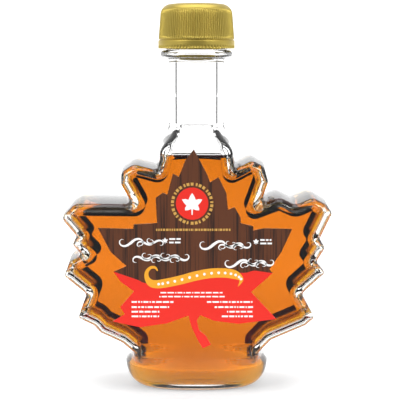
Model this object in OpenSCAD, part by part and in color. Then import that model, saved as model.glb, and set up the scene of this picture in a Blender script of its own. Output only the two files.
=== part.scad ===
// Maple syrup bottle: a clear glass leaf-shaped bottle with syrup, a gold screw cap and a die-cut label.
// Millimetres, +Z up, the origin is the middle of the flat foot the bottle stands on, the label faces -Y.

/* [Leaf body] */

// Width of the leaf across its two upper arms
leaf_w = 111; // [80:1:160]

// Height of the leaf from the foot to the notch under the shoulder
leaf_h = 92; // [70:1:140]

// Depth of the body between its two flat faces
body_depth = 42; // [30:1:60]

// Radius that rounds the side walls into the flat faces
edge_r = 3.4; // [1:0.2:6]

// How far the side walls draw in from the parting line to that rounding
draft = 0.9; // [0:0.1:2]

/* [Glass] */

// Wall thickness of the leaf body
wall = 3; // [2:0.1:5]

// Thickness of the glass floor above the foot
floor_t = 5; // [3:0.5:10]

// Outer diameter of the neck
neck_d = 23.2; // [18:0.2:32]

// Bore through the neck and mouth
bore_d = 16.4; // [10:0.2:24]

// Height of the rim of the mouth above the foot
rim_z = 156; // [135:1:200]

// Diameter of the glass bead under the cap
bead_d = 29.8; // [24:0.2:40]

// Height of that bead
bead_h = 3.1; // [2:0.1:6]

/* [Contents] */

// Height of the syrup surface above the foot
syrup_z = 96.3; // [60:0.1:104]

/* [Cap] */

// Diameter of the cap at its lower edge
cap_d = 31.4; // [26:0.2:42]

// Diameter of the cap under its rounded top
cap_top_d = 29.6; // [24:0.2:40]

// Height of the cap
cap_h = 18.6; // [14:0.2:30]

// Number of ribs around the skirt
cap_ribs = 100; // [24:1:120]

// Height of the tamper band below the ribs
band_h = 3.6; // [2:0.2:6]

/* [Label] */

// Thickness of the sticker
label_t = 0.25; // [0.1:0.05:1]

/* [Hidden] */

eps = 0.02;
hd = body_depth / 2;
kx = leaf_w / 111;
kz = leaf_h / 92;
// The inside is rounded more tightly, so that its flat faces never close up between two notches
in_r = max(0.6, min(edge_r - 1.4, 6 * min(kx, kz) - wall - draft));
// Level where the leaf slices end and the level slices of the shoulder begin
cut_z = 95 * kz;
// Half width of the shoulder at that level
cut_w = 15.7 * kx;
// The leaf meets the foot at this level and half width
foot_z = 14.6 * kz;
foot_w = 26.4 * kx;
// How far the foot's side rolls in under it
foot_r = 7.5;
neck_r = neck_d / 2;
bore_r = bore_d / 2;
// The shoulder runs from cut_z to here
neck_z = cut_z + 14;
cap_z = rim_z + 2 - cap_h;
bead_z = cap_z - 0.6 - bead_h;
fin_r = cap_top_d / 2 - 2.2;
// Points on a rounded corner of radius r
function arc_n(r) = r < 1.6 ? 2 : 3;

// Leaf corners from the shoulder notch down to the foot: distance from the middle, height, rounding
left_c = [[16.6, 92, 1], [25.5, 94.4, 5], [31.2, 90.5, 4], [31.4, 85, 2.5], [27.4, 78, 1.2],
    [49.5, 78.3, 6], [56, 71.5, 3], [49.6, 63.8, 1], [51.4, 60.4, 2], [47.8, 56.6, 1],
    [52.2, 54.4, 2.5], [54.8, 47.4, 2], [45.8, 40, 1.2], [49.4, 30, 2], [42.3, 26.6, 3],
    [39.6, 23.6, 3], [31, 19.6, 5], [26.4, 15.8, 1]];
right_c = [[16, 92.6, 1], [22.3, 95.8, 4], [28, 93, 4], [30, 86, 2.2], [27.2, 78.4, 1.2],
    [33.6, 80.8, 5], [40, 77.8, 3], [47, 80.9, 5], [53.2, 77.5, 4], [56, 73.4, 2.2],
    [51, 63, 1], [53.2, 59, 2], [49.8, 53.6, 1], [53.5, 48.8, 1.6], [44, 40.2, 1.2],
    [49.3, 30.4, 2], [45, 26.6, 3], [31, 20.6, 4], [26.4, 15.8, 1]];

// Label corners on each side from the top tip down, and its stem
label_l = [[1, 99.5], [4.5, 94.8], [7, 88.4], [9.4, 89.8], [11.6, 81.3], [13.5, 82], [16.3, 80], [15.8, 69.8],
    [25.2, 69.2], [25.4, 67.4], [39.6, 67.8], [34.5, 58], [28.2, 52.3], [33.4, 50], [30.5, 45.8], [25.2, 42],
    [30.8, 35.5], [29, 32.6], [34, 29.6], [22.8, 27.2], [12, 28.8], [3.2, 32]];
label_r = [[4.5, 89], [5.5, 86.2], [8.9, 88.3], [12, 82], [12.7, 75.2], [15.3, 76.2], [17.8, 72], [17.8, 69.8],
    [23, 68.4], [22.8, 66.8], [27.1, 67.7], [38.5, 67.4], [34.3, 58.1], [29.5, 51], [30.8, 49.4], [22.1, 41.7],
    [32.4, 30.6], [17, 28.6], [7, 29.9], [1.5, 32.2]];
label_s = [[-2, 27.5], [0.3, 22.4], [2.6, 18.5], [5.9, 20], [3.9, 23.6], [1.1, 26], [0.2, 30]];

// One side's open corner chain, from the shoulder level down to the foot level
function chain(c) = concat([[cut_w, cut_z, 0]], [for (p = c) [p[0] * kx, p[1] * kz, p[2]]], [[foot_w, foot_z, 0]]);

function unit(v) = v / norm(v);
function dir_at(c, i) = unit([c[i + 1][0] - c[i][0], c[i + 1][1] - c[i][1]]);
// Normal towards the inside of the edge that leaves corner i
function nrm_at(c, i) = let (d = dir_at(c, i)) [d[1], -d[0]];
function turn_at(c, i) = let (a = dir_at(c, i - 1), b = dir_at(c, i)) a[0] * b[1] - a[1] * b[0];
// The chain moved inward by d with mitred corners; its two ends stay on their levels
function inset(c, d) = [for (i = [0 : len(c) - 1])
    i == 0 || i == len(c) - 1 ? [c[i][0] - d, c[i][1], 0] :
    let (m = nrm_at(c, i - 1), n = nrm_at(c, i), q = (m + n) / (1 + m * n))
    [c[i][0] + d * q[0], c[i][1] + d * q[1], turn_at(c, i) < 0 ? max(c[i][2] - 0.7 * d, 1) : c[i][2] + 0.6 * d]];
// Corner i as a short arc of n points, never longer than the edges beside it allow
function arc_at(c, i, n) = let (p = [c[i][0], c[i][1]], a = -dir_at(c, i - 1), b = dir_at(c, i),
    la = norm([c[i][0] - c[i - 1][0], c[i][1] - c[i - 1][1]]),
    lb = norm([c[i][0] - c[i + 1][0], c[i][1] - c[i + 1][1]]),
    h = acos(max(-1, min(1, a * b))) / 2,
    t = min(c[i][2] / tan(h), 0.47 * min(la, lb)),
    r = t * tan(h), q = unit(a + b), u = unit(b - a), o = p + q * r / sin(h), s = 90 - h)
    [for (k = [0 : n - 1]) let (w = -s + 2 * s * k / (n - 1)) o - q * r * cos(w) + u * r * sin(w)];
function side(list, d) = let (c0 = chain(list), c = inset(c0, d), e = len(c) - 1)
    concat([[c[0][0], c[0][1]]], [for (i = [1 : e - 1]) for (p = arc_at(c, i, arc_n(c0[i][2]))) p],
    [[c[e][0], c[e][1]]]);

// Depth profile of the body as [inset, y], front face to back face
function prof(h, r, w, n) = let (
    q = [for (k = [0 : n]) let (a = 90 * k / n) [w + draft + r * (1 - sin(a)), h - r + r * cos(a)]],
    m = [w + draft * 0.3, (h - r) * 0.55])
    concat([for (p = q) [p[0], -p[1]]], [[m[0], -m[1]], [w, 0], m], [for (k = [n : -1 : 0]) q[k]]);

// Levels are [z, share across, share in depth, half width, half depth, power of the rounded outline]
function ease(t) = let (c = max(0, min(1, t))) 0.5 - 0.5 * cos(180 * c);
function shoulder(n, zw, zd, z1, r) = [for (k = [0 : n]) let (z = zw + (z1 - zw) * k / n)
    [z, ease((z - zw) / (z1 - zw)), ease((z - zd) / (z1 - zd)), r, r, 2]];
// Foot levels for a foot of half width a and half depth b whose underside is at z0
function foot(a, b, z0, n) = concat([[z0 + (foot_z - z0) * 0.86, 0.55, 0.5, a - 0.3, b, 2.6]],
    [for (k = [0 : n]) let (w = 90 * k / n, r = (foot_z - z0) * 0.7)
    [z0 + r * (1 - sin(w)), 1, 1, a - foot_r * (1 - cos(w)), b - foot_r * 0.7 * (1 - cos(w)), 2.6]]);

// Surface of a body, leaf slices between the foot and the shoulder and level slices beyond both, open at its
// top level: [points, faces, index of the top level, points in a level]
function body(pr, up, down) = let (
    m = len(pr), nf = 5, fwd = [0 : nf - 1],
    ls = [for (p = pr) [for (q = side(left_c, p[0])) [-q[0], p[1], q[1]]]],
    rs = [for (p = pr) [for (q = side(right_c, p[0])) [q[0], p[1], q[1]]]],
    kl = len(ls[0]), kr = len(rs[0]), kk = kl + kr, base = m * kk, ml = 2 * nf + 2 * m,
    // Points along the front and back edges of the two cut levels, bowed a little away from the leaf
    tf = mids(ls[0][0], rs[0][0], nf, 0.5), tb = mids(rs[m - 1][0], ls[m - 1][0], nf, 0.5),
    bf = mids(ls[0][kl - 1], rs[0][kr - 1], nf, -0.5), bb = mids(rs[m - 1][kr - 1], ls[m - 1][kl - 1], nf, -0.5),
    top = concat(tf, [for (r = rs) r[0]], tb, [for (j = [m - 1 : -1 : 0]) ls[j][0]]),
    bot = concat(bf, [for (r = rs) r[kr - 1]], bb, [for (j = [m - 1 : -1 : 0]) ls[j][kl - 1]]),
    it = concat([for (k = fwd) base + k], [for (j = [0 : m - 1]) j * kk + kl],
        [for (k = fwd) base + nf + k], [for (j = [m - 1 : -1 : 0]) j * kk]),
    ib = concat([for (k = fwd) base + 2 * nf + k], [for (j = [0 : m - 1]) j * kk + kk - 1],
        [for (k = fwd) base + 3 * nf + k], [for (j = [m - 1 : -1 : 0]) j * kk + kl - 1]),
    lu = [for (u = up) level(u, top, top[nf + (m - 1) / 2][0], pr[m - 1][1])],
    ld = [for (u = down) level(u, bot, bot[nf + (m - 1) / 2][0], pr[m - 1][1])],
    nd = base + 4 * nf, nu = nd + len(down) * ml)
    [concat([for (j = [0 : m - 1]) for (p = concat(ls[j], rs[j])) p], tf, tb, bf, bb,
        [for (l = ld) for (p = l) p], [for (l = lu) for (p = l) p]),
    concat(
        [for (j = [0 : m - 2]) for (i = [0 : kl - 2]) let (a = j * kk + i) [a, a + kk, a + kk + 1, a + 1]],
        [for (j = [0 : m - 2]) for (i = [0 : kr - 2]) let (a = j * kk + kl + i) [a, a + 1, a + kk + 1, a + kk]],
        [concat([for (i = [0 : kl - 1]) i], [for (k = fwd) base + 2 * nf + k],
            [for (i = [kr - 1 : -1 : 0]) kl + i], [for (k = fwd) base + nf - 1 - k])],
        [concat([for (i = [0 : kr - 1]) (m - 1) * kk + kl + i], [for (k = fwd) base + 3 * nf + k],
            [for (i = [kl - 1 : -1 : 0]) (m - 1) * kk + i], [for (k = fwd) base + 2 * nf - 1 - k])],
        [for (i = [0 : ml - 1]) let (n = (i + 1) % ml) [it[i], it[n], nu + n, nu + i]],
        [for (i = [0 : ml - 1]) let (n = (i + 1) % ml) [ib[i], nd + i, nd + n, ib[n]]],
        [for (l = [0 : 1 : len(up) - 2]) for (i = [0 : ml - 1]) let (a = nu + l * ml, n = (i + 1) % ml)
            [a + i, a + n, a + ml + n, a + ml + i]],
        [for (l = [0 : 1 : len(down) - 2]) for (i = [0 : ml - 1]) let (a = nd + l * ml, n = (i + 1) % ml)
            [a + i, a + ml + i, a + ml + n, a + n]],
        [[for (i = [ml - 1 : -1 : 0]) nd + (len(down) - 1) * ml + i]]),
    nu + (len(up) - 1) * ml, ml];
function mids(p, q, n, bow) = [for (k = [1 : n]) p + (q - p) * k / (n + 1) + [0, 0, bow * sin(180 * k / (n + 1))]];
function level(u, ring, hw, hh) = [for (q = ring) let (dx = q[0] / hw, dy = q[1] / hh,
    g = pow(pow(abs(dx), u[5]) + pow(abs(dy), u[5]), 1 / u[5]))
    [q[0] * (1 - u[1]) + u[1] * u[3] * dx / g, q[1] * (1 - u[2]) + u[2] * u[4] * dy / g, u[0]]];
function rev(f) = [for (i = [len(f) - 1 : -1 : 0]) f[i]];
// A round level of the neck
function round_at(z, r) = [z, 1, 1, r, r, 2];

// Inside surface of the glass up to the rim, or the part of it up to a level surface
function cavity(gap, top) = body(prof(hd - wall - gap, in_r, wall + gap, 2),
    top > 0 ? [[top, 0, 0, 1, 1, 2]] :
    concat(shoulder(7, cut_z + 1, cut_z + 3, neck_z - 2, bore_r), [round_at(rim_z, bore_r)]),
    foot(foot_w + 3.3 - wall - gap, hd - wall - gap, floor_t + gap, 4));

// Glass bottle, one hollow piece: the outside, the inside turned round, and the rim that joins them
module bottle() {
    br = bead_d / 2;
    o = body(prof(hd, edge_r, 0, 2),
        concat(shoulder(8, cut_z + 2, cut_z + 4.5, neck_z, neck_r),
        [for (p = [[bead_z - 1, neck_r], [bead_z, br - 0.9], [bead_z + 0.8, br], [bead_z + bead_h - 0.8, br],
            [bead_z + bead_h, br - 0.9], [bead_z + bead_h + 0.1, fin_r], [rim_z - 0.5, fin_r], [rim_z, fin_r - 0.5]])
            round_at(p[0], p[1])]),
        foot(foot_w + 3.3, hd, 0, 5));
    c = cavity(0, 0);
    n = len(o[0]);
    color([0.86, 0.9, 0.9, 0.35])
    polyhedron(points = concat(o[0], c[0]), faces = concat([for (f = o[1]) rev(f)],
        [for (f = c[1]) [for (i = f) i + n]],
        [for (i = [0 : o[3] - 1]) let (k = (i + 1) % o[3])
            [n + c[2] + i, n + c[2] + k, o[2] + k, o[2] + i]]), convexity = 10);
}

// Syrup filling the glass up to its level surface
module syrup() {
    c = cavity(0.05, syrup_z);
    color([0.85, 0.45, 0.05])
    polyhedron(points = c[0], faces = concat([for (f = c[1]) rev(f)],
        [[for (i = [c[3] - 1 : -1 : 0]) c[2] + i]]), convexity = 8);
}

// Gold screw cap with a ribbed skirt above a plain tamper band, seated on the rim
module cap() {
    rr = cap_d / 2;
    rt = cap_top_d / 2;
    color([0.72, 0.6, 0.25])
    difference() {
        intersection() {
            rotate_extrude()
            polygon(concat([[0, cap_z], [rr - 0.3, cap_z], [rr, cap_z + 0.3], [rr, cap_z + band_h - 0.3],
                [rr - 0.6, cap_z + band_h], [rr - 0.15, cap_z + band_h + 0.35]],
                [for (k = [0 : 8]) let (a = 90 * k / 8) [rt - 4.5 + 4.5 * cos(a), rim_z + 1.6 - 4.5 + 4.5 * sin(a)]],
                [[rt * 0.4, rim_z + 1.9], [0, rim_z + 2]]));
            union() {
                translate([0, 0, cap_z - 1])
                cylinder(r = rr + 1, h = band_h + 1.4);
                linear_extrude(rim_z + 5)
                polygon([for (k = [0 : 2 * cap_ribs - 1]) let (a = 180 * k / cap_ribs, r = rr - (k % 2) * 0.45)
                    [r * cos(a), r * sin(a)]]);
            }
        }
        translate([0, 0, cap_z - 1])
        cylinder(r = fin_r + 0.5, h = rim_z - cap_z + 1);
    }
}

// Die-cut paper label on the flat front face
module label() {
    color([0.45, 0.22, 0.12])
    translate([0, -hd, 0])
    rotate([90, 0, 0])
    linear_extrude(label_t)
    polygon(concat([for (p = label_l) [-p[0] * kx, p[1] * kz]],
        [for (p = label_s) [p[0] * kx, p[1] * kz]],
        [for (i = [len(label_r) - 1 : -1 : 0]) [label_r[i][0] * kx, label_r[i][1] * kz]]));
}

bottle();
syrup();
cap();
label();
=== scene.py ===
import math

import bpy
import numpy as np
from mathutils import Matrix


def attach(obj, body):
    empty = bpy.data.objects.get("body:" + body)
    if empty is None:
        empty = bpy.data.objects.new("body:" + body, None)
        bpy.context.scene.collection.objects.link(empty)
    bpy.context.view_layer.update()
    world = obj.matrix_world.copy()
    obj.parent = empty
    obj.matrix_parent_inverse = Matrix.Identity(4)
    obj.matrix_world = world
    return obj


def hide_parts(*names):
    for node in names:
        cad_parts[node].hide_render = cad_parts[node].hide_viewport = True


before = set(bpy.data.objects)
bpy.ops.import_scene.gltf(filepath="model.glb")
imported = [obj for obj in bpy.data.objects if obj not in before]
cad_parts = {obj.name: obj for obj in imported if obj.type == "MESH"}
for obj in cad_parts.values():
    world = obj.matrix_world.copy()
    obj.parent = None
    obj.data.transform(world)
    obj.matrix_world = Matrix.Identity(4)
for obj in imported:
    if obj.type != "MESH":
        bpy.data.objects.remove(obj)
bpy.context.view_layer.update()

# ---------------------------------------------------------------------------------------------------
# The glass bottle: clear flint glass blown in a two-part mould, in the shape of a leaf, with a thick
# wall, an oval foot, a round neck and a bead of glass under the cap. One closed mesh, outside and
# inside, joined over the rim of the mouth. Sizes in millimetres, as in the part's source.
# ---------------------------------------------------------------------------------------------------
MM = 0.001

# The leaf's corners from shoulder to foot: [distance from the middle, height, corner radius].
left_leaf = np.array([
    [16.6, 92, 1], [25.5, 94.4, 5], [31.2, 90.5, 4], [31.4, 85, 2.5], [27.4, 78, 1.2],
    [49.5, 78.3, 6], [56, 71.5, 3], [49.6, 63.8, 1], [51.4, 60.4, 2], [47.8, 56.6, 1],
    [52.2, 54.4, 2.5], [54.8, 47.4, 2], [45.8, 40, 1.2], [49.4, 30, 2], [42.3, 26.6, 3],
    [39.6, 23.6, 3], [31, 19.6, 5], [26.4, 15.8, 1]])
right_leaf = np.array([
    [16, 92.6, 1], [22.3, 95.8, 4], [28, 93, 4], [30, 86, 2.2], [27.2, 78.4, 1.2],
    [33.6, 80.8, 5], [40, 77.8, 3], [47, 80.9, 5], [53.2, 77.5, 4], [56, 73.4, 2.2],
    [51, 63, 1], [53.2, 59, 2], [49.8, 53.6, 1], [53.5, 48.8, 1.6], [44, 40.2, 1.2],
    [49.3, 30.4, 2], [45, 26.6, 3], [31, 20.6, 4], [26.4, 15.8, 1]])
SHOULDER_Z, SHOULDER_W = 95.0, 15.7
FOOT_Z, FOOT_W, FOOT_OUT, FOOT_ROLL = 14.6, 26.4, 3.3, 7.5
HALF_DEPTH, EDGE_R, DRAFT, WALL, FLOOR, INNER_R = 21.0, 3.4, 0.9, 3.0, 3.2, 2.0
NECK_R, BORE_R, NECK_Z, RIM_Z = 11.6, 8.2, 109.0, 156.0
BEAD_R, BEAD_H, BEAD_Z, BEAD_ROOT, FINISH_R = 14.9, 3.1, 135.7, 0.9, 12.6
SYRUP_Z = 96.3
ROUND, OVAL = 2, 2.6  # powers of a rounded outline: a circle or ellipse, and the foot's squarer oval


def side(corners, inward, steps):
    """One side of the leaf, top to bottom: each corner, moved inward by the mitre of its two edges, becomes
    an arc tangent to both edges, point = centre + radius * (cos, sin) of an angle swept in even steps. Moved
    inward, outer corners get tighter and inner ones wider. No arc takes more than its share of an edge."""
    tighter, wider, least, most_of_edge = 0.7, 0.6, 1.0, 0.47
    c = np.vstack([[SHOULDER_W, SHOULDER_Z, 0], corners, [FOOT_W, FOOT_Z, 0]])
    d = np.diff(c[:, :2], axis=0)
    d /= np.linalg.norm(d, axis=1)[:, None]
    n = np.stack([d[:, 1], -d[:, 0]], 1)
    q = (n[:-1] + n[1:]) / (1 + (n[:-1] * n[1:]).sum(1))[:, None]
    turn = d[:-1, 0] * d[1:, 1] - d[:-1, 1] * d[1:, 0]
    p = c[:, :2].copy()
    p[1:-1] += inward * q
    p[0, 0] -= inward
    p[-1, 0] -= inward
    r = np.where(turn < 0, np.maximum(c[1:-1, 2] - tighter * inward, least), c[1:-1, 2] + wider * inward)
    edge = np.diff(p, axis=0)
    length = np.linalg.norm(edge, axis=1)
    u = edge / length[:, None]
    a, b = -u[:-1], u[1:]
    half = np.arccos(np.clip((a * b).sum(1), -1, 1)) / 2
    t = np.minimum(r / np.tan(half), most_of_edge * np.minimum(length[:-1], length[1:]))
    r = t * np.tan(half)
    q = (a + b) / np.linalg.norm(a + b, axis=1)[:, None]
    v = (b - a) / np.linalg.norm(b - a, axis=1)[:, None]
    o = p[1:-1] + q * (r / np.sin(half))[:, None]
    w = np.linspace(-1, 1, steps)[None, :] * (math.pi / 2 - half)[:, None]
    arcs = o[:, None] - q[:, None] * (r[:, None] * np.cos(w))[..., None] \
        + v[:, None] * (r[:, None] * np.sin(w))[..., None]
    return np.vstack([p[:1], arcs.reshape(-1, 2), p[-1:]])


def depth_profile(half, inset, radius, rounds, crown):
    """Front to back as [inset, y]: a quarter circle from the flat face to the side wall, then a crown that
    bulges as the square of the distance from the parting line, then the same mirrored."""
    a = np.linspace(0, math.pi / 2, rounds + 1)
    q = np.stack([inset + DRAFT + radius * (1 - np.sin(a)), -(half - radius + radius * np.cos(a))], 1)
    s = np.linspace(-1, 0, crown + 1)[1:]
    m = np.stack([inset + DRAFT * s * s, s * (half - radius)], 1)
    front = np.vstack([q, m])
    return np.vstack([front, (front * [1, -1])[:-1][::-1]])


def ease(t):
    """Half a cosine: nothing up to t = 0, rising smoothly to one at t = 1."""
    return 0.5 - 0.5 * np.cos(np.pi * np.clip(t, 0, 1))


def shoulder_levels(steps, z_wide, z_deep, z_top, radius):
    """Levels [z, share across, share in depth, half width, half depth, power] up to a round neck: the shares
    rise as half a cosine."""
    z = np.linspace(z_wide, z_top, steps + 1)
    return np.stack([z, ease((z - z_wide) / (z_top - z_wide)), ease((z - z_deep) / (z_top - z_deep)),
                     z * 0 + radius, z * 0 + radius, z * 0 + ROUND], 1)


def foot_levels(a, b, z0, steps):
    """Levels from the leaf down round the foot: a narrow waist in the upper part of the rise, then a quarter
    ellipse that rolls the side in under the foot, less in depth than across."""
    waist_share, waist, depth_share = 0.3, 1.2, 0.7
    rise = FOOT_Z - z0
    s = np.linspace(0.2, 1, 4)
    neck = np.stack([FOOT_Z - rise * waist_share * s, ease(s), ease(s), a - waist * (1 - s) ** 2, s * 0 + b,
                     s * 0 + OVAL], 1)
    w = np.linspace(0, math.pi / 2, steps + 1)[1:]
    under = FOOT_ROLL * (1 - np.cos(w))
    roll = np.stack([z0 + rise * (1 - waist_share) * (1 - np.sin(w)), w * 0 + 1, w * 0 + 1, a - under,
                     b - under * depth_share, w * 0 + OVAL], 1)
    return np.vstack([neck, roll])


def body_surface(profile, up, down, steps=10, across=16):
    """The skin of a leaf body, open at its top level. Between foot and shoulder the point (u, v) is the leaf
    outline u inset by the depth profile at v, and the two sides are joined over a slight arch. Beyond them
    each level blends that cut's ring into a rounded outline |x/a|^n + |y/b|^n = 1. Returns points, faces,
    flat faces' indices, first index and length of the top ring."""
    arch = 0.5
    m = len(profile)
    left = np.stack([np.insert(side(left_leaf, i, steps) * [-1, 1], 1, y, axis=1) for i, y in profile])
    right = np.stack([np.insert(side(right_leaf, i, steps), 1, y, axis=1) for i, y in profile])
    kl, kr = left.shape[1], right.shape[1]
    t = (np.arange(1, across + 1) / (across + 1))[:, None]
    bow = arch * np.sin(np.pi * t) * [[0, 0, 1]]
    tf = left[0, 0] + (right[0, 0] - left[0, 0]) * t + bow
    tb = right[-1, 0] + (left[-1, 0] - right[-1, 0]) * t + bow
    bf = left[0, -1] + (right[0, -1] - left[0, -1]) * t - bow
    bb = right[-1, -1] + (left[-1, -1] - right[-1, -1]) * t - bow
    top = np.vstack([tf, right[:, 0], tb, left[::-1, 0]])
    bot = np.vstack([bf, right[:, -1], bb, left[::-1, -1]])
    ml = len(top)

    def levels(spec, ring):
        """One ring of points for each level of the spec, blended from the ring of the cut."""
        hw, hh = ring[across + (m - 1) // 2, 0], profile[-1, 1]
        dx, dy = ring[:, 0] / hw, ring[:, 1] / hh
        s = spec[:, :, None]
        g = (np.abs(dx) ** s[:, 5] + np.abs(dy) ** s[:, 5]) ** (1 / s[:, 5])
        return np.stack([ring[:, 0] * (1 - s[:, 1]) + s[:, 1] * s[:, 3] * dx / g,
                         ring[:, 1] * (1 - s[:, 2]) + s[:, 2] * s[:, 4] * dy / g,
                         s[:, 0] + 0 * g], 2)

    low, high = levels(down, bot), levels(up, top)
    points = np.vstack([left.reshape(-1, 3), right.reshape(-1, 3), tf, tb, bf, bb,
                        low.reshape(-1, 3), high.reshape(-1, 3)])
    il = np.arange(m * kl).reshape(m, kl)
    ir = il.size + np.arange(m * kr).reshape(m, kr)
    base = il.size + ir.size
    itf, itb, ibf, ibb = (base + k * across + np.arange(across) for k in range(4))
    ilow = base + 4 * across + np.arange(low.shape[0] * ml).reshape(-1, ml)
    ihigh = base + 4 * across + ilow.size + np.arange(high.shape[0] * ml).reshape(-1, ml)
    it = np.concatenate([itf, ir[:, 0], itb, il[::-1, 0]])
    ib = np.concatenate([ibf, ir[:, -1], ibb, il[::-1, -1]])
    quads = [np.stack([il[:-1, :-1], il[1:, :-1], il[1:, 1:], il[:-1, 1:]], 2).reshape(-1, 4),
             np.stack([ir[:-1, :-1], ir[:-1, 1:], ir[1:, 1:], ir[1:, :-1]], 2).reshape(-1, 4)]
    rings_up, rings_down = np.vstack([it, ihigh]), np.vstack([ib, ilow])
    for rings, flip in ((rings_up, False), (rings_down, True)):
        nxt = np.roll(rings, -1, axis=1)
        f = np.stack([rings[:-1], nxt[:-1], nxt[1:], rings[1:]], 2).reshape(-1, 4)
        quads.append(f[:, ::-1] if flip else f)
    faces = [list(f) for f in np.vstack(quads).tolist()]
    flats = [list(np.concatenate([il[0], ibf, ir[0][::-1], itf[::-1]])),
             list(np.concatenate([ir[-1], ibb, il[-1][::-1], itb[::-1]])), list(ilow[-1][::-1])]
    return points, faces, [[int(i) for i in f] for f in flats], int(ihigh[-1, 0]), ml


def solid(name, points, faces, flats):
    """A mesh object from points in millimetres, smooth but for the flat faces listed apart."""
    mesh = bpy.data.meshes.new(name)
    mesh.from_pydata((np.asarray(points) * MM).tolist(), [], faces + flats)
    smooth = np.ones(len(faces) + len(flats), bool)
    smooth[len(faces):] = False
    mesh.polygons.foreach_set("use_smooth", smooth)
    mesh.update()
    obj = bpy.data.objects.new(name, mesh)
    bpy.context.collection.objects.link(obj)
    return obj


def linear(code):
    """An sRGB hex colour as linear red, green, blue, alpha."""
    c = np.array([int(code[i:i + 2], 16) for i in (0, 2, 4)]) / 255
    return tuple(np.where(c <= 0.04045, c / 12.92, ((c + 0.055) / 1.055) ** 2.4)) + (1.0,)


def node(tree, kind, links=None, settings=None, **values):
    """Adds one node: plain attributes, socket values and links to its inputs."""
    n = tree.nodes.new("ShaderNode" + kind)
    for k, v in (settings or {}).items():
        setattr(n, k, v)
    for k, v in values.items():
        n.inputs[k.replace("_", " ")].default_value = v
    for k, v in (links or {}).items():
        tree.links.new(v, n.inputs[k])
    return n


def material(name):
    """An empty material and its node tree."""
    m = bpy.data.materials.new(name)
    m.use_nodes = True
    m.node_tree.nodes.clear()
    return m, m.node_tree


def round_level(z, r):
    """A level that is a full circle of radius r."""
    return [z, 1, 1, r, r, ROUND]


def neck_levels():
    """The neck, the bead of glass as half an ellipse, and the finish under the cap up to the rounded rim."""
    root, fullness = NECK_R + BEAD_ROOT, 0.6
    a = np.linspace(-math.pi / 2, math.pi / 2, 11)
    bead = [round_level(BEAD_Z + BEAD_H / 2 * (1 + math.sin(t)),
                        root + (BEAD_R - root) * math.cos(t) ** fullness) for t in a]
    z = np.linspace(NECK_Z + 4, BEAD_Z - 2, 4)
    return np.array([round_level(k, NECK_R) for k in z] + [round_level(BEAD_Z - 0.7, NECK_R + 0.15)] + bead
                    + [round_level(BEAD_Z + BEAD_H + 0.3, FINISH_R), round_level(RIM_Z - 0.5, FINISH_R),
                       round_level(RIM_Z - 0.1, FINISH_R - 0.35), round_level(RIM_Z, FINISH_R - 0.8)])


out_p, out_f, out_flat, out_top, ml = body_surface(
    depth_profile(HALF_DEPTH, 0, EDGE_R, rounds=8, crown=5),
    np.vstack([shoulder_levels(14, SHOULDER_Z + 2, SHOULDER_Z + 4.5, NECK_Z, NECK_R), neck_levels()]),
    foot_levels(FOOT_W + FOOT_OUT, HALF_DEPTH, z0=0.0, steps=9))
in_p, in_f, in_flat, in_top, _ = body_surface(
    depth_profile(HALF_DEPTH - WALL, WALL, INNER_R, rounds=10, crown=6),
    np.vstack([shoulder_levels(12, SHOULDER_Z + 1, SHOULDER_Z + 3, NECK_Z - 2, BORE_R),
               [round_level(z, BORE_R) for z in (120, 140, RIM_Z - 0.6)],
               [round_level(RIM_Z, BORE_R + 0.5)]]),
    foot_levels(FOOT_W + FOOT_OUT - WALL, HALF_DEPTH - WALL, z0=FLOOR, steps=16))
n_out = len(out_p)
k = np.arange(ml)
kn = np.roll(k, -1)
rim = np.stack([out_top + k, out_top + kn, n_out + in_top + kn, n_out + in_top + k], 1)
inside = [[i + n_out for i in reversed(f)] for f in in_f]
inside_flat = [[i + n_out for i in reversed(f)] for f in in_flat]
glass = solid("bottle_glass", np.vstack([out_p, in_p]), out_f + inside + rim.tolist(), out_flat + inside_flat)

# Flint glass, blown and fire polished: smooth and without colour, seen only by what it bends and mirrors.
GLASS_IOR = 1.52
clear_glass, tree = material("flint_glass_polished")
shader = node(tree, "BsdfPrincipled", Base_Color=linear("FFFFFF"), Roughness=0.0, IOR=GLASS_IOR,
              Transmission_Weight=1.0)
node(tree, "OutputMaterial", {"Surface": shader.outputs[0]})
glass.data.materials.append(clear_glass)

# The same glass where syrup wets it: the two bend light almost alike, so hardly anything is reflected there.
FAINT = "3F3F3F"
wet_glass, tree = material("flint_glass_wetted")
shader = node(tree, "BsdfPrincipled", Base_Color=linear("FFFFFF"), Roughness=0.0, IOR=GLASS_IOR,
              Transmission_Weight=1.0, Specular_Tint=linear(FAINT))
node(tree, "OutputMaterial", {"Surface": shader.outputs[0]})
glass.data.materials.append(wet_glass)

# Which glass each face is: the inside below the syrup's level is wetted, and so are its large flat faces.
heights = np.array([p.center[2] for p in glass.data.polygons])
which = np.zeros(len(heights), np.int32)
inner_faces = slice(len(out_f), len(out_f) + len(inside))
which[inner_faces] = heights[inner_faces] < SYRUP_Z * MM
which[-len(inside_flat):] = 1
glass.data.polygons.foreach_set("material_index", which)

# In the foot, wetted glass and syrup have the same fine facets side by side, so both are flat shaded there.
shades = np.zeros(len(heights), bool)
glass.data.polygons.foreach_get("use_smooth", shades)
glass.data.polygons.foreach_set("use_smooth", shades & ((which == 0) | (heights > FOOT_Z * MM)))
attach(glass, "root")
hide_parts("bottle")

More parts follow.
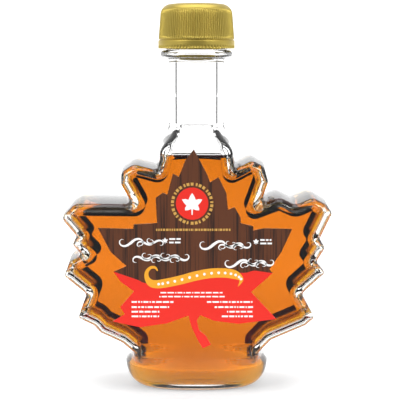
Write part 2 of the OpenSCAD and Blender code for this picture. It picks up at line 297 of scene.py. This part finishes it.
# ---------------------------------------------------------------------------------------------------
# The syrup: boiled maple sap, a clear amber liquid that fills the leaf up to the root of the neck. It
# reaches a tenth of a millimetre into the glass, so no film of air shows, and climbs the wall a little.
# ---------------------------------------------------------------------------------------------------
INTO, CLIMB = 0.1, 0.7
syr_p, syr_f, syr_flat, syr_top, _ = body_surface(
    depth_profile(HALF_DEPTH - WALL + INTO, WALL - INTO, INNER_R, rounds=10, crown=6),
    np.array([[SYRUP_Z + CLIMB, 0, 0, 1, 1, ROUND]]),
    foot_levels(FOOT_W + FOOT_OUT - WALL + INTO, HALF_DEPTH - WALL + INTO, z0=FLOOR - INTO, steps=16))

# The meniscus: rings that fall from the wall to the level, steeply at first: [share of the outline, drop].
meniscus = np.array([[0.985, 0.3], [0.96, 0.5], [0.92, 0.63], [0.85, CLIMB]])
edge = syr_p[syr_top:syr_top + ml]
rings = [edge * [share, share, 1] - [0, 0, drop] for share, drop in meniscus]
ring_start = len(syr_p)
syr_p = np.vstack([syr_p] + rings)
idx = np.vstack([syr_top + k[None], ring_start + np.arange(len(meniscus))[:, None] * ml + k])
nxt = np.roll(idx, -1, axis=1)
syr_f += np.stack([idx[:-1], nxt[:-1], nxt[1:], idx[1:]], 2).reshape(-1, 4).tolist()
syrup = solid("maple_syrup", syr_p, syr_f, syr_flat + [idx[-1].tolist()])
shades = np.zeros(len(syrup.data.polygons), bool)
heights = np.array([p.center[2] for p in syrup.data.polygons])
syrup.data.polygons.foreach_get("use_smooth", shades)
syrup.data.polygons.foreach_set("use_smooth", shades & (heights > FOOT_Z * MM))

# Boiled sap, strained clear: it swallows blue at once, green within two centimetres and red within four or
# five, so it is amber in the leaf's depth and paler where it is thin.
amber, tree = material("maple_syrup_amber")
shader = node(tree, "BsdfPrincipled", Base_Color=linear("FFFFFF"), Roughness=0.0, IOR=1.48,
              Transmission_Weight=1.0, Specular_Tint=linear(FAINT))
depth = node(tree, "VolumeAbsorption", Color=linear("F6E600"), Density=298.0)
node(tree, "OutputMaterial", {"Surface": shader.outputs[0], "Volume": depth.outputs[0]})
syrup.data.materials.append(amber)
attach(syrup, "root")
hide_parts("syrup")

# ---------------------------------------------------------------------------------------------------
# The screw cap: drawn aluminium with a gold lacquer, a domed top with a rolled shoulder, a skirt with
# fine upright ribs, and below a groove the tamper band with its small bridges. It sits on the rim.
# ---------------------------------------------------------------------------------------------------
CAP_Z, CAP_TOP, CAP_R, CAP_TOP_R, CAP_BORE, BAND_H = 139.4, 158.0, 15.7, 14.8, 13.1, 3.6
CAP_SHOULDER, DOME, GROOVE = 4.5, 0.4, 0.6
RIBS, RIB_DEPTH, BRIDGES, BRIDGE_DEPTH = 100, 0.42, 72, 0.3
POINTS_PER_RIB = 8


def turned(name, profile, steps, relief):
    """A closed turned solid: the point (t, s) is the profile point s = [radius, height] turned by angle t,
    with its radius cut back by relief(t, radius, height). Both ends of the profile lie on the axis."""
    p = np.asarray(profile, float)
    t = np.arange(steps) * 2 * np.pi / steps
    rad, z = p[1:-1, :1], p[1:-1, 1:]
    r = rad - relief(t[None], rad, z)
    ring = np.stack([r * np.cos(t), r * np.sin(t), z + 0 * t], 2).reshape(-1, 3)
    points = np.vstack([[[0, 0, p[0, 1]]], ring, [[0, 0, p[-1, 1]]]])
    i = 1 + np.arange(len(ring)).reshape(-1, steps)
    n = np.roll(i, -1, axis=1)
    quads = np.stack([i[:-1], i[1:], n[1:], n[:-1]], 2).reshape(-1, 4).tolist()
    first, last = np.full(steps, 0), np.full(steps, len(points) - 1)
    ends = np.vstack([np.stack([first, i[0], n[0]], 1), np.stack([last, n[-1], i[-1]], 1)]).tolist()
    return solid(name, points, quads + ends, [])


def window(z, low, high, soft):
    """One between low and high, falling to nothing over soft at both ends."""
    return ease((z - low) / soft) * ease((high - z) / soft)


def cap_relief(t, r, z):
    """How deep the cap's outside is cut back: upright ribs on the skirt and, lower down, the bridges of the
    tamper band, both as a raised cosine round the cap. The inside, near the bore, is left smooth."""
    outer = r > CAP_BORE + 0.8
    ribs = RIB_DEPTH * (0.5 - 0.5 * np.cos(RIBS * t)) * window(z, CAP_Z + BAND_H + 0.2, CAP_TOP - 2.3, 1.0)
    bridges = BRIDGE_DEPTH * (0.5 - 0.5 * np.cos(BRIDGES * t)) * window(z, CAP_Z + 0.25, CAP_Z + 1.5, 0.3)
    return outer * (ribs + bridges)


# The profile from the middle of the top: dome, rolled shoulder, skirt, groove, tamper band, lip and inside.
turn = np.linspace(0, math.pi / 2, 13)
quarter = CAP_SHOULDER * np.stack([np.sin(turn), np.cos(turn)], 1)
side_top, groove_z = CAP_TOP - DOME - CAP_SHOULDER, CAP_Z + BAND_H
dome = [[0, CAP_TOP], [3, CAP_TOP - 0.01], [6, CAP_TOP - 0.05], [8.5, CAP_TOP - DOME / 2]]
rolled = [CAP_TOP_R - CAP_SHOULDER, side_top] + quarter
skirt = np.linspace([CAP_TOP_R + 0.05, side_top - 0.5], [CAP_R - 0.15, groove_z + 0.35], 16)
groove = [[CAP_R - 0.35, groove_z + 0.15], [CAP_R - GROOVE, groove_z], [CAP_R - 0.35, groove_z - 0.15],
          [CAP_R - 0.05, groove_z - 0.3]]
tamper_band = np.linspace([CAP_R, groove_z - 0.5], [CAP_R, CAP_Z + 0.2], 14)
lip = [[CAP_R - 0.05, CAP_Z + 0.08], [CAP_R - 0.25, CAP_Z], [CAP_BORE + 0.2, CAP_Z], [CAP_BORE, CAP_Z + 0.2]]
within = [[CAP_BORE, RIM_Z - 0.3], [CAP_BORE - 0.3, RIM_Z], [0, RIM_Z]]
cap_profile = np.vstack([dome, rolled, skirt, groove, tamper_band, lip, within])
cap = turned("screw_cap", cap_profile, RIBS * POINTS_PER_RIB, cap_relief)

# Drawn aluminium under a gold lacquer: a satin metal that keeps an even, slightly green gold. The lacquer is
# uneven at about a third of a millimetre.
LACQUER_GRAIN = 1 / 3
gold, tree = material("gold_lacquered_aluminium")
coords = node(tree, "TexCoord")
speckle = node(tree, "TexNoise", {"Vector": coords.outputs["Object"]}, Scale=1 / (LACQUER_GRAIN * MM),
               Detail=2.0)
bump = node(tree, "Bump", {"Height": speckle.outputs["Fac"]}, Strength=0.05, Distance=0.00002)
shader = node(tree, "BsdfPrincipled", {"Normal": bump.outputs[0]}, Base_Color=linear("AE9A4C"), Metallic=1.0,
              Roughness=0.42)
node(tree, "OutputMaterial", {"Surface": shader.outputs[0]})
cap.data.materials.append(gold)
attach(cap, "root")
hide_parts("cap")

# ---------------------------------------------------------------------------------------------------
# The label: a die-cut sticker of coated paper on the flat front, a brown leaf printed with wood grain
# above a red foot and stem. The inks lie on it as separate thin layers.
# ---------------------------------------------------------------------------------------------------
PAPER, INK, LAP = 0.14, 0.02, 0.7

# The die's corners [x, height]: the left side from the tip down, the right side from beside it, the stem.
label_l = np.array([
    [1, 99.5], [4.5, 94.8], [7, 88.4], [9.4, 89.8], [11.6, 81.3], [13.5, 82], [16.3, 80], [15.8, 69.8],
    [25.2, 69.2], [25.4, 67.4], [39.6, 67.8], [34.5, 58], [28.2, 52.3], [33.4, 50], [30.5, 45.8], [25.2, 42],
    [30.8, 35.5], [29, 32.6], [34, 29.6], [22.8, 27.2], [12, 28.8], [3.2, 32]]) * [-1, 1]
label_r = np.array([
    [4.5, 89], [5.5, 86.2], [8.9, 88.3], [12, 82], [12.7, 75.2], [15.3, 76.2], [17.8, 72], [17.8, 69.8],
    [23, 68.4], [22.8, 66.8], [27.1, 67.7], [38.5, 67.4], [34.3, 58.1], [29.5, 51], [30.8, 49.4],
    [22.1, 41.7], [32.4, 30.6], [17, 28.6], [7, 29.9], [1.5, 32.2]])
label_stem = np.array([[-2, 27.5], [0.3, 22.4], [2.6, 18.5], [5.9, 20], [3.9, 23.6], [1.1, 26], [0.2, 30]])


def printed(name, outlines, layer):
    """Flat printed fields: each outline [x, z], anticlockwise from the front, drawn out by its thickness
    towards -Y. Layer 0 is the paper, and each ink layer starts LAP of an ink's thickness above the last, so
    that inks never share a plane."""
    back, front = 0, PAPER
    if layer > 0:
        back = PAPER + (layer - 1) * LAP * INK
        front = back + INK
    points, faces, start = [], [], 0
    for o in outlines:
        o = np.asarray(o, float)
        n = len(o)
        i, j = start + np.arange(n), start + (np.arange(n) + 1) % n
        points += [np.insert(o, 1, -HALF_DEPTH - front, axis=1), np.insert(o, 1, -HALF_DEPTH - back, axis=1)]
        faces += [i.tolist(), (i + n)[::-1].tolist()] + np.stack([i + n, j + n, j, i], 1).tolist()
        start += 2 * n
    return solid(name, np.vstack(points), [], faces)


def smooth_path(points, steps):
    """A Catmull-Rom curve through rows of [x, z, width]: each span is the cubic whose ends' slopes follow the
    neighbouring points."""
    p = np.asarray(points, float)
    e = np.vstack([2 * p[0] - p[1], p, 2 * p[-1] - p[-2]])
    t = (np.arange(steps) / steps)[:, None, None]
    a, b, c, d = e[:-3], e[1:-2], e[2:-1], e[3:]
    q = 0.5 * (2 * b + (c - a) * t + (2 * a - 5 * b + 4 * c - d) * t ** 2 + (3 * b - a - 3 * c + d) * t ** 3)
    return np.vstack([q.transpose(1, 0, 2).reshape(-1, p.shape[1]), p[-1:]])


def stroke(path):
    """The outline of a brush stroke along rows of [x, z, width]: each point goes half its width both ways."""
    p = np.asarray(path, float)
    d = np.gradient(p[:, :2], axis=0)
    n = np.stack([d[:, 1], -d[:, 0]], 1) / np.maximum(np.linalg.norm(d, axis=1), 1e-9)[:, None]
    return np.vstack([p[:, :2] + n * p[:, 2:] / 2, (p[:, :2] - n * p[:, 2:] / 2)[::-1]])


def paper_ink(name, code, code_dark=None, rough=0.45):
    """Ink on coated paper: even colour over a relief of fibres 0.4 mm across, with an uneven wood grain
    along Z if a second colour is given. Its figure is 2 by 77 mm, with streaks of 0.5 by 25 mm in it."""
    fibre_size = 0.4 * MM
    figure_wide, figure_long = 2 * MM, 77 * MM
    streak_wide, streak_long = 0.5 * MM, 25 * MM
    m, tree = material(name)
    shader = node(tree, "BsdfPrincipled", Base_Color=linear(code), Roughness=rough)
    coords = node(tree, "TexCoord")
    fibre = node(tree, "TexNoise", {"Vector": coords.outputs["Object"]}, Scale=1 / fibre_size, Detail=3.0)
    bump = node(tree, "Bump", {"Height": fibre.outputs["Fac"]}, Strength=0.1, Distance=0.00002)
    tree.links.new(bump.outputs[0], shader.inputs["Normal"])
    if code_dark:
        wide = node(tree, "Mapping", {"Vector": coords.outputs["Object"]},
                    Scale=(1 / figure_wide, 1 / figure_wide, 1 / figure_long))
        fine = node(tree, "Mapping", {"Vector": coords.outputs["Object"]},
                    Scale=(1 / streak_wide, 1 / streak_wide, 1 / streak_long))
        figure = node(tree, "TexNoise", {"Vector": wide.outputs[0]}, Scale=1.0, Detail=2.0, Distortion=0.6)
        streak = node(tree, "TexNoise", {"Vector": fine.outputs[0]}, Scale=1.0, Detail=3.0)
        both = node(tree, "Math", {0: figure.outputs["Fac"], 1: streak.outputs["Fac"]}, {"operation": "ADD"})
        ramp = node(tree, "ValToRGB", {"Fac": both.outputs[0]})
        dark_end, light_end = ramp.color_ramp.elements
        dark_end.position, dark_end.color = 0.78, linear(code_dark)
        light_end.position, light_end.color = 1.22, linear(code)
        tree.links.new(ramp.outputs[0], shader.inputs["Base Color"])
    node(tree, "OutputMaterial", {"Surface": shader.outputs[0]})
    return m


backing = paper_ink("coated_paper", "F2EFE8")
brown = paper_ink("wood_print_ink", "5F3217", "2D1509")
red = paper_ink("red_ink", "F0281A")
yellow = paper_ink("ribbon_ink", "F9AC28")
white = paper_ink("white_ink", "FFFFFF")
dull_gold = paper_ink("gold_ink", "D6A552")


def on_label(obj, mat):
    """Gives a printed field its ink and lays it on the label."""
    obj.data.materials.append(mat)
    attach(obj, "root")
    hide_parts("label")


# White paper, the whole die-cut outline, all of it printed brown on the front.
leaf_outline = np.vstack([label_l, label_stem, label_r[::-1]])
on_label(printed("label_paper", [leaf_outline], 0), backing)
on_label(printed("label_leaf", [leaf_outline], 1), brown)

# Red foot: the lower leaf and its stem, below a wavy edge that the ribbon covers in the middle.
wave = smooth_path([[30.8, 49.4], [26, 50.1], [23, 50.4], [18.9, 49.5], [9, 50], [0, 47], [-10, 44.2],
                    [-20.4, 45.3], [-23.6, 46.6], [-28.1, 48.2], [-33.4, 50]], 6)
red_outline = np.vstack([label_l[13:], label_stem, label_r[14:][::-1], wave[1:-1]])
on_label(printed("label_red", [red_outline], 2), red)

# Ribbon: one band of yellow ink, curled over at its left end and folded down at its right end, with a row of
# dots. Rows of [x, height, width].
DOT_R = 0.55
band = smooth_path([
    [-15.6, 50.4, 0.5], [-16.7, 51.7, 1.0], [-18.5, 51.6, 1.2], [-20, 49.8, 1.5], [-19.9, 47.3, 2],
    [-18.2, 45.3, 3], [-15.6, 44.9, 3.4], [-12.1, 45.4, 3.6], [-6.5, 46.6, 3.7], [-0.5, 48.2, 3.8],
    [5.4, 49.3, 3.9], [11, 49.5, 3.8], [15.4, 48.8, 3.6], [17.9, 47.2, 2.0], [17.8, 45.6, 1],
    [16.8, 44, 0.15]], 8)
on_label(printed("label_ribbon", [stroke(band)], 3), yellow)
turn = np.linspace(0, 2 * np.pi, 65)[:-1]
circle = np.stack([np.cos(turn), np.sin(turn)], 1)
on_label(printed("label_ribbon_dots", [at[:2] + circle[::4] * DOT_R for at in band[49:108:4]], 4), white)

# Badge: a red disc with a white leaf of plain design, inside a ring of gold dashes, and a row of them below.
BADGE_R, RING_IN, RING_OUT, RING_DASHES = 6.5, 7.3, 8.5, 30
badge = np.array([-1.7, 77.6])
half_leaf = np.array([[0, 4.5], [0.7, 3.5], [1.4, 1.9], [2.6, 2.2], [3.9, 2.0], [3.2, 0.8], [2.2, -0.3],
                      [2.7, -1.3], [2.7, -2.2], [1.5, -2.1], [0.28, -1.7], [0.22, -3.9]])
leaf_mark = np.vstack([half_leaf * [-1, 1], half_leaf[:0:-1]])
on_label(printed("label_badge", [badge + BADGE_R * circle], 2), red)
on_label(printed("label_badge_leaf", [badge + [0, -0.4] + leaf_mark * 1.05], 3), white)
dashes = []
for m in range(RING_DASHES):
    arc = (m + np.linspace(0.16, 0.84 - 0.25 * (m % 3 == 0), 5)) * 2 * np.pi / RING_DASHES
    dashes.append(np.vstack([badge + RING_OUT * np.stack([np.cos(arc), np.sin(arc)], 1),
                             badge + RING_IN * np.stack([np.cos(arc[::-1]), np.sin(arc[::-1])], 1)]))
x = -16.2
while x < 13.4:
    w = 0.7 + 0.5 * math.sin(7 * x)
    dashes.append([[x, 66.6], [x + w, 66.6], [x + w, 67.5], [x, 67.5]])
    x += w + 0.35
on_label(printed("label_gold_dashes", dashes, 2), dull_gold)


def scroll(x, z, size, lean, hand=1, curl=4.6, width=0.11):
    """A calligrapher's flourish: a double spiral whose direction turns as the square of the way along it,
    direction = lean + curl * s^2, drawn with a stroke that is widest halfway and thin at both ends."""
    half = 28
    s = np.linspace(-1, 1, 2 * half + 1)
    way = math.radians(lean) + hand * curl * s * s
    p = np.cumsum(np.stack([np.cos(way), np.sin(way)], 1) * size / (half + 1), axis=0)
    p += [x, z] - (p.max(0) + p.min(0)) / 2
    return stroke(np.column_stack([p, size * width * (1.1 - np.abs(s) ** 1.3)]))


# Running scrolls in place of a title: a large one at the head of three lines, and along all four a row of
# smaller ones that turn to and fro. Each row is [first x, last x, count, height, size].
flourishes = [scroll(x, z, size, 40, -1)
              for x, z, size in ((-26.2, 61.9, 8.8), (6.6, 60.8, 9.6), (16.3, 53.3, 8.8))]
for first, last, count, z, size in ((-20.6, -16.6, 2, 61.6, 6), (-21.8, -6.8, 5, 55.4, 7),
                                    (12.4, 18.4, 3, 60.4, 6.4), (21.4, 27.6, 3, 53.2, 6.6)):
    flourishes += [scroll(x, z + 0.5 * (i % 2), size, 28 if i % 2 else -28, 1 - 2 * (i % 2), 4.4, 0.13)
                   for i, x in enumerate(np.linspace(first, last, count))]
flourishes += [np.array([cx, cz]) + leaf_mark * 0.3 for cx, cz in ((-12.6, 62.5), (24, 62.1))]
on_label(printed("label_flourishes", flourishes, 3), white)

# Rows of small dashes in place of the small print, each [left, right, height, tall].
LINE, FINE_LINE = 0.7, 0.55
rows = [(-14.5, 10.6, 41.4, FINE_LINE), (-15, 11.4, 39.8, FINE_LINE), (-26.2, -9.3, 37.6, LINE),
        (-26.2, -10.5, 35.5, LINE), (-26.2, -14.7, 33.6, LINE), (-26.2, -14.5, 31.7, LINE),
        (4.3, 22.9, 37.6, LINE), (7.4, 22.9, 35.5, LINE), (12.4, 22.9, 33.6, LINE), (10.3, 22.9, 31.7, LINE),
        (-10.9, -6.3, 63.3, LINE), (-10.9, -6.1, 61.9, LINE), (25.7, 30.2, 62.9, LINE),
        (25.7, 30.4, 61.5, LINE)]
small = []
for left, right, z, tall in rows:
    x = left
    while x < right - 0.4:
        w = min(1.6 + 1.1 * math.sin(11 * x + 3 * z), right - x)
        small.append([[x, z - tall / 2], [x + w, z - tall / 2], [x + w, z + tall / 2], [x, z + tall / 2]])
        x += w + 0.45
on_label(printed("label_small_dashes", small, 3), white)

# ---------------------------------------------------------------------------------------------------
# The stage: a camera with a long lens, a white room with dark flags, a light table under the bottle and
# three soft boxes.
# ---------------------------------------------------------------------------------------------------
CAMERA_X, DISTANCE, CAMERA_Z, AIM_Z = 1.46, 550.0, 139.0, 76.7
cam = bpy.data.cameras.new("camera")
cam.lens = 119.5
cam.sensor_width = 36
cam_obj = bpy.data.objects.new("camera", cam)
cam_obj.location = (CAMERA_X * MM, -DISTANCE * MM, CAMERA_Z * MM)
cam_obj.rotation_euler = (math.pi / 2 - math.atan((CAMERA_Z - AIM_Z) / DISTANCE), 0, 0)
bpy.context.collection.objects.link(cam_obj)
bpy.context.scene.camera = cam_obj

# The room: a white sweep behind the bottle and at its sides, dimmer overhead and towards the camera.
world = bpy.data.worlds.new("studio")
bpy.context.scene.world = world
world.use_nodes = True
wt = world.node_tree
sky = wt.nodes["Background"]
way = node(wt, "SeparateXYZ", {"Vector": node(wt, "TexCoord").outputs["Generated"]})
SMOOTH = {"interpolation_type": "SMOOTHSTEP"}
round_about = node(wt, "MapRange", {"Value": way.outputs["Y"]}, SMOOTH,
                   From_Min=-0.9, From_Max=0.1, To_Min=0.48, To_Max=1.45)
overhead = node(wt, "MapRange", {"Value": way.outputs["Z"]}, SMOOTH,
                From_Min=0.3, From_Max=0.75, To_Min=1.0, To_Max=0.5)
room = node(wt, "Math", {0: round_about.outputs[0], 1: overhead.outputs[0]}, {"operation": "MULTIPLY"})

# Two dark flags at eye level, at both sides behind the bottle: they draw the edge lines of the neck.
DARK = 0.1
flag_front = node(wt, "MapRange", {"Value": way.outputs["Y"]}, SMOOTH,
                  From_Min=0.18, From_Max=0.32, To_Min=1.0, To_Max=DARK)
flag_back = node(wt, "MapRange", {"Value": way.outputs["Y"]}, SMOOTH,
                 From_Min=0.52, From_Max=0.66, To_Min=DARK, To_Max=1.0)
off_level = node(wt, "Math", {0: way.outputs["Z"]}, {"operation": "ABSOLUTE"})
flag_ends = node(wt, "MapRange", {"Value": off_level.outputs[0]}, SMOOTH,
                 From_Min=0.12, From_Max=0.3, To_Min=0.0, To_Max=1.0)
beside = node(wt, "Math", {0: flag_front.outputs[0], 1: flag_back.outputs[0]}, {"operation": "MAXIMUM"})
flags = node(wt, "Math", {0: beside.outputs[0], 1: flag_ends.outputs[0]}, {"operation": "MAXIMUM"})
level = node(wt, "Math", {0: room.outputs[0], 1: flags.outputs[0]}, {"operation": "MULTIPLY"})
wt.links.new(level.outputs[0], sky.inputs["Strength"])
sky.inputs["Color"].default_value = linear("FFFFFF")

# The table: white opal acrylic, lit from below behind the bottle. In front of the bottle its colour is
# greyer, as painted shade.
TABLE, TABLE_Z = 6, -0.0001
bpy.ops.mesh.primitive_plane_add(size=TABLE, location=(0, 0, TABLE_Z))
floor = bpy.context.object
floor.name = "floor"
opal, tree = material("opal_acrylic_light_table")
place = node(tree, "SeparateXYZ", {"Vector": node(tree, "TexCoord").outputs["Object"]})
lit = node(tree, "MapRange", {"Value": place.outputs["Y"]},
           From_Min=-0.13, From_Max=0.3, To_Min=0.0, To_Max=1.2)
# Painted shade: the table's colour darkens from light grey near the bottle to dark grey towards the camera.
tone_with_front_shade = node(tree, "MapRange", {"Value": place.outputs["Y"]}, SMOOTH,
            From_Min=-0.13, From_Max=-0.03, To_Min=0.25, To_Max=0.68)
grey = node(tree, "CombineColor", {"Red": tone_with_front_shade.outputs[0], "Green": tone_with_front_shade.outputs[0], "Blue": tone_with_front_shade.outputs[0]})
shader = node(tree, "BsdfPrincipled", {"Emission Strength": lit.outputs[0], "Base Color": grey.outputs[0]},
              Roughness=0.6, Emission_Color=linear("FFFFFF"))
node(tree, "OutputMaterial", {"Surface": shader.outputs[0]})
floor.data.materials.append(opal)

# Soft boxes: one overhead, and one at each side of the camera turned towards the bottle.
for name, place, turn, width, height, power in (
        ("softbox_top", (0, 0.05, 0.9), (0, 0, 0), 0.9, 0.7, 5.5),
        ("softbox_left", (-0.62, -0.55, 0.55), (math.radians(55), 0, math.radians(-48)), 0.35, 0.5, 3.5),
        ("softbox_right", (0.62, -0.55, 0.55), (math.radians(55), 0, math.radians(48)), 0.35, 0.5, 3.5)):
    lamp = bpy.data.lights.new(name, "AREA")
    lamp.shape = "RECTANGLE"
    lamp.size = width
    lamp.size_y = height
    lamp.energy = power
    lamp_obj = bpy.data.objects.new(name, lamp)
    lamp_obj.location = place
    lamp_obj.rotation_euler = turn
    bpy.context.collection.objects.link(lamp_obj)

bpy.context.scene.view_settings.view_transform = "Standard"
